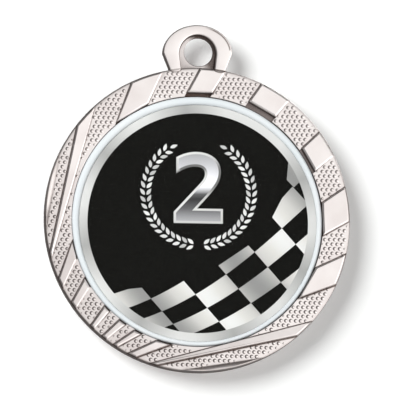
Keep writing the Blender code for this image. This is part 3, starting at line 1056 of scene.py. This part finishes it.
def silver_ink(name, stops, kind):
    """Printed silver: a soft run of greys. kind says what the run follows."""
    material, nodes, links, shader = new_material(name)
    place = nodes.new("ShaderNodeTexCoord")
    run = ramp(nodes, stops)
    if kind == "tone":
        tone = nodes.new("ShaderNodeAttribute")
        tone.attribute_name = "patina_shade_tone"
        links.new(tone.outputs["Fac"], run.inputs["Fac"])
    elif kind == "round":
        swing = nodes.new("ShaderNodeMapping")
        swing.inputs["Location"].default_value = (-FILM_C.x, 0.0, -FILM_C.y)
        links.new(place.outputs["Object"], swing.inputs["Vector"])
        lay = nodes.new("ShaderNodeMapping")
        lay.inputs["Rotation"].default_value = (math.radians(-90.0), 0.0, 0.0)
        links.new(swing.outputs["Vector"], lay.inputs["Vector"])
        turn = nodes.new("ShaderNodeTexGradient")
        turn.gradient_type = "RADIAL"
        links.new(lay.outputs["Vector"], turn.inputs["Vector"])
        links.new(turn.outputs["Fac"], run.inputs["Fac"])
    elif kind == "height":
        split = nodes.new("ShaderNodeSeparateXYZ")
        links.new(place.outputs["Object"], split.inputs["Vector"])
        level = nodes.new("ShaderNodeMapRange")
        level.inputs["From Min"].default_value = FILM_C.y
        level.inputs["From Max"].default_value = FILM_C.y + 15.4 * MM
        links.new(split.outputs["Z"], level.inputs["Value"])
        links.new(level.outputs["Result"], run.inputs["Fac"])
    else:
        bands = nodes.new("ShaderNodeTexWave")
        bands.bands_direction = "DIAGONAL"
        bands.inputs["Scale"].default_value = 26.0
        bands.inputs["Distortion"].default_value = 5.0
        bands.inputs["Detail"].default_value = 0.0
        bands.inputs["Detail Scale"].default_value = 0.6
        links.new(place.outputs["Object"], bands.inputs["Vector"])
        links.new(bands.outputs["Fac"], run.inputs["Fac"])
    links.new(run.outputs["Color"], shader.inputs["Base Color"])
    shader.inputs["Roughness"].default_value = 0.45
    shader.inputs["Specular IOR Level"].default_value = 0.1
    return material


def clear_resin():
    """Clear resin: lets everything through, with a soft gloss that grows at a slant."""
    material, nodes, links, shader = new_material("clear_resin")
    nodes.remove(shader)
    clear = nodes.new("ShaderNodeBsdfTransparent")
    gloss = nodes.new("ShaderNodeBsdfGlossy")
    gloss.inputs["Roughness"].default_value = 0.06
    slant = nodes.new("ShaderNodeLayerWeight")
    slant.inputs["Blend"].default_value = 0.12
    share = nodes.new("ShaderNodeMath")
    share.operation = "MULTIPLY"
    share.inputs[1].default_value = 0.12
    links.new(slant.outputs["Fresnel"], share.inputs[0])
    mix = nodes.new("ShaderNodeMixShader")
    links.new(share.outputs[0], mix.inputs[0])
    links.new(clear.outputs[0], mix.inputs[1])
    links.new(gloss.outputs[0], mix.inputs[2])
    links.new(mix.outputs[0], nodes["Material Output"].inputs["Surface"])
    return material


def tape():
    material, nodes, links, shader = new_material("tape")
    place = nodes.new("ShaderNodeTexCoord")
    fibre = nodes.new("ShaderNodeTexNoise")
    fibre.inputs["Scale"].default_value = 900.0
    links.new(place.outputs["Object"], fibre.inputs["Vector"])
    tint = ramp(nodes, [(0.3, (0.74, 0.72, 0.66)), (0.7, (0.84, 0.82, 0.76))])
    links.new(fibre.outputs["Fac"], tint.inputs["Fac"])
    links.new(tint.outputs["Color"], shader.inputs["Base Color"])
    shader.inputs["Roughness"].default_value = 0.7
    return material


# Dark bands round the silver border, as light sweeping round a turned ring
BAND_BEARINGS = (24, *range(96, 337, 48))
BAND_HALF_WIDTH = 20
BAND_DARK, BAND_LIGHT = 0.40, 0.71
BORDER_TONES = [(bearing, BAND_DARK) for bearing in BAND_BEARINGS]
BORDER_TONES += [(bearing - BAND_HALF_WIDTH, BAND_LIGHT) for bearing in BAND_BEARINGS]
BORDER_TONES += [(bearing + BAND_HALF_WIDTH, BAND_LIGHT) for bearing in BAND_BEARINGS]
# The ramp's ends meet at 180 degrees, part of the way into a band
SEAM_TONE = BAND_LIGHT - 0.4 * (BAND_LIGHT - BAND_DARK)
BORDER_TONES += [(180, SEAM_TONE), (179.9, SEAM_TONE)]
BORDER_STOPS = sorted(((bearing / 360.0 + 0.5) % 1.0, grey(tone)) for bearing, tone in BORDER_TONES)
# Tone of the numeral's face by height, as metal that mirrors a horizon
NUMERAL_TONES = ((0.0, 0.5), (0.2, 0.13), (0.33, 0.04), (0.4, 0.12))
NUMERAL_TONES += ((0.5, 0.92), (0.62, 0.94), (0.8, 0.6), (1.0, 0.36))
NUMERAL_STOPS = [(place, (tone, tone, tone * 1.04)) for place, tone in NUMERAL_TONES]
BEVEL_STOPS = [(0.0, grey(0.02)), (0.2, grey(0.10)), (0.5, grey(0.33)), (1.0, grey(0.76))]
LEAF_STOPS = [(0.0, (0.1, 0.1, 0.1)), (0.5, (0.40, 0.40, 0.40)), (1.0, (0.88, 0.88, 0.87))]
FLAG_STOPS = [(0.0, (0.30, 0.30, 0.295)), (0.45, (0.62, 0.61, 0.59))]
FLAG_STOPS += [(0.8, (0.74, 0.73, 0.70)), (1.0, (0.84, 0.84, 0.83))]


# ---------------------------------------------------------------- put it together
def dress(piece, *materials):
    piece.data.materials.clear()
    for material in materials:
        piece.data.materials.append(material)
    return piece


def keep(piece, slot, *nodes):
    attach(piece, "root")
    if nodes:
        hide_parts(*nodes)


casting = dress(make_casting(), cast_metal())
keep(casting, "cast_zinc", "medal_body")
tray = dress(make_tray(), tray_coat())
keep(tray, "coated_tray", "insert_tray")
film = dress(make_film(), black_ink())
keep(film, "printed_film", "printed_disc")
border = dress(make_border(), silver_ink("border_ink", BORDER_STOPS, "round"))
keep(border, "printed_film")

figure = numeral_outline()
numeral = printed("print_numeral", [(figure, NUMERAL_PROFILE)], numeral_tone)
dress(numeral, silver_ink("numeral_bevel_ink", BEVEL_STOPS, "tone"))
inner = inset(anticlockwise(figure), NUMERAL_BEVEL)
face = printed("print_numeral_face", [(inner, NUMERAL_FACE)])
dress(face, silver_ink("numeral_face_ink", NUMERAL_STOPS, "height"))
keep(face, "printed_film")
keep(numeral, "printed_film")

wreath = dress(make_wreath(), silver_ink("leaf_ink", LEAF_STOPS, "tone"))
keep(wreath, "printed_film")
flag = dress(make_flag(), silver_ink("flag_ink", FLAG_STOPS, "wave"))
keep(flag, "printed_film")
dome = dress(make_dome(), clear_resin())
keep(dome, "clear_resin", "clear_dome")
dress(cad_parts["insert_adhesive"], tape())


# ---------------------------------------------------------------- stage, light and camera
def fade(nodes, links, source, start, end):
    """0 up to start and 1 past end."""
    fit = nodes.new("ShaderNodeMapRange")
    fit.inputs["From Min"].default_value = start
    fit.inputs["From Max"].default_value = end
    links.new(source, fit.inputs["Value"])
    return fit.outputs["Result"]


def larger(nodes, links, one, other):
    most = nodes.new("ShaderNodeMath")
    most.operation = "MAXIMUM"
    links.new(one, most.inputs[0])
    links.new(other, most.inputs[1])
    return most.outputs[0]


def stage_material(name, value, glow, reach, grazing):
    """Pale matte for the camera only, seen from one side, fading out with distance and at a glance."""
    material, nodes, links, shader = new_material(name)
    shader.inputs["Base Color"].default_value = (value, value, value, 1.0)
    shader.inputs["Roughness"].default_value = 0.9
    shader.inputs["Specular IOR Level"].default_value = 0.0
    shader.inputs["Emission Color"].default_value = (1.0, 1.0, 1.0, 1.0)
    shader.inputs["Emission Strength"].default_value = glow
    clear = nodes.new("ShaderNodeBsdfTransparent")
    surface = nodes.new("ShaderNodeNewGeometry")
    away = nodes.new("ShaderNodeVectorMath")
    away.operation = "LENGTH"
    links.new(surface.outputs["Position"], away.inputs[0])
    glance = nodes.new("ShaderNodeLayerWeight")
    glance.inputs["Blend"].default_value = 0.5
    path = nodes.new("ShaderNodeLightPath")
    unseen = fade(nodes, links, path.outputs["Is Camera Ray"], 1.0, 0.0)
    gone = larger(nodes, links, unseen, surface.outputs["Backfacing"])
    gone = larger(nodes, links, gone, fade(nodes, links, away.outputs["Value"], *reach))
    gone = larger(nodes, links, gone, fade(nodes, links, glance.outputs["Facing"], *grazing))
    mix = nodes.new("ShaderNodeMixShader")
    links.new(gone, mix.inputs[0])
    links.new(shader.outputs[0], mix.inputs[1])
    links.new(clear.outputs[0], mix.inputs[2])
    links.new(mix.outputs[0], nodes["Material Output"].inputs["Surface"])
    return material


def plane(name, corners, material):
    mesh = bpy.data.meshes.new(name)
    mesh.from_pydata(corners, [], [(0, 1, 2, 3)])
    made = bpy.data.objects.new(name, mesh)
    bpy.context.scene.collection.objects.link(made)
    made.data.materials.append(material)
    return made


FLOOR_Z = body_low.z - 14.0 * MM
BACKDROP_Y = 5.2 * MM
BACKDROP_HALF = 110.0 * MM
SPAN = 3.0
plane(
    "backdrop",
    [
        (-BACKDROP_HALF, BACKDROP_Y, -BACKDROP_HALF),
        (BACKDROP_HALF, BACKDROP_Y, -BACKDROP_HALF),
        (BACKDROP_HALF, BACKDROP_Y, BACKDROP_HALF),
        (-BACKDROP_HALF, BACKDROP_Y, BACKDROP_HALF),
    ],
    stage_material("backdrop_paper", 0.97, 0.05, (70.0 * MM, 108.0 * MM), (0.6, 0.9)),
)
plane(
    "floor",
    [(-SPAN, -SPAN, FLOOR_Z), (SPAN, -SPAN, FLOOR_Z), (SPAN, SPAN, FLOOR_Z), (-SPAN, SPAN, FLOOR_Z)],
    stage_material("floor_paper", 0.55, 0.6, (60.0 * MM, 260.0 * MM), (0.985, 1.0)),
)


def area_light(name, place, aim, size, power, colour):
    light = bpy.data.lights.new(name, "AREA")
    light.shape = "DISK"
    light.size = size
    light.energy = power
    light.color = colour
    made = bpy.data.objects.new(name, light)
    bpy.context.scene.collection.objects.link(made)
    made.location = place
    made.rotation_euler = (Vector(aim) - Vector(place)).to_track_quat("-Z", "Y").to_euler()
    return made


key = area_light("key", (-0.50, -0.72, 0.24), (0.0, 0.0, 0.0), 0.52, 8.2, (0.985, 1.0, 0.995))
key.visible_glossy = False
area_light("back_fill", (0.38, 0.7, 0.42), (0.0, 0.0, 0.0), 0.42, 4.2, (1.0, 0.99, 0.98))

world = bpy.data.worlds.new("studio")
bpy.context.scene.world = world
world.use_nodes = True
wn, wl = world.node_tree.nodes, world.node_tree.links
background = wn["Background"]
where = wn.new("ShaderNodeTexCoord")
lobe = wn.new("ShaderNodeVectorMath")
lobe.operation = "DOT_PRODUCT"
wl.new(where.outputs["Generated"], lobe.inputs[0])
lobe.inputs[1].default_value = Vector((0.55, -0.80, -0.22)).normalized()
WORLD_STOPS = [(0.0, grey(0.40)), (0.3, grey(0.16)), (0.5, grey(0.10)), (0.6, grey(0.22))]
WORLD_STOPS += [(0.75, grey(0.62)), (0.88, grey(0.95)), (0.95, grey(1.2)), (1.0, grey(1.3))]
depth = ramp(wn, WORLD_STOPS)
fit = wn.new("ShaderNodeMapRange")
fit.inputs["From Min"].default_value = -1.0
fit.inputs["From Max"].default_value = 1.0
wl.new(lobe.outputs["Value"], fit.inputs["Value"])
wl.new(fit.outputs["Result"], depth.inputs["Fac"])
beside = wn.new("ShaderNodeVectorMath")
beside.operation = "DOT_PRODUCT"
wl.new(where.outputs["Generated"], beside.inputs[0])
beside.inputs[1].default_value = Vector((0.86, -0.40, -0.30)).normalized()
strip_box = ramp(wn, [(0.76, grey(0.0)), (0.86, grey(0.85))])
wl.new(beside.outputs["Value"], strip_box.inputs["Fac"])
both = wn.new("ShaderNodeMix")
both.data_type = "RGBA"
both.blend_type = "ADD"
both.inputs["Factor"].default_value = 1.0
wl.new(depth.outputs["Color"], both.inputs["A"])
wl.new(strip_box.outputs["Color"], both.inputs["B"])
seen = wn.new("ShaderNodeLightPath")
pick = wn.new("ShaderNodeMix")
pick.data_type = "RGBA"
wl.new(seen.outputs["Is Camera Ray"], pick.inputs["Factor"])
wl.new(both.outputs["Result"], pick.inputs["A"])
pick.inputs["B"].default_value = (1.0, 1.0, 1.0, 1.0)
wl.new(pick.outputs["Result"], background.inputs["Color"])
strength = wn.new("ShaderNodeMapRange")
wl.new(seen.outputs["Is Diffuse Ray"], strength.inputs["Value"])
strength.inputs["To Min"].default_value = 1.2
strength.inputs["To Max"].default_value = 0.34
wl.new(strength.outputs["Result"], background.inputs["Strength"])

CAMERA_AZ = math.radians(-7.0)
CAMERA_EL = math.radians(-8.5)
CAMERA_AWAY = 1.6
FRAME_WIDTH = 2 * DISC_R * 1.3656
CAMERA_AIM = (2.6 * MM, 2.0 * MM)

flat_share = math.cos(CAMERA_EL)
toward = Vector((math.sin(CAMERA_AZ) * flat_share, -math.cos(CAMERA_AZ) * flat_share, math.sin(CAMERA_EL)))
turned_to = (-toward).to_track_quat("-Z", "Y")
right = turned_to @ Vector((1.0, 0.0, 0.0))
up = turned_to @ Vector((0.0, 1.0, 0.0))
front_centre = Vector((0.0, -FIELD, 0.0))
aim = front_centre + right * CAMERA_AIM[0] + up * CAMERA_AIM[1]
lens = bpy.data.cameras.new("camera")
lens.sensor_width = 36.0
lens.lens = lens.sensor_width * CAMERA_AWAY / FRAME_WIDTH
lens.clip_start = 0.01
camera = bpy.data.objects.new("camera", lens)
bpy.context.scene.collection.objects.link(camera)
camera.location = aim + toward * CAMERA_AWAY
camera.rotation_euler = turned_to.to_euler()
bpy.context.scene.camera = camera
bpy.context.scene.view_settings.view_transform = "Standard"
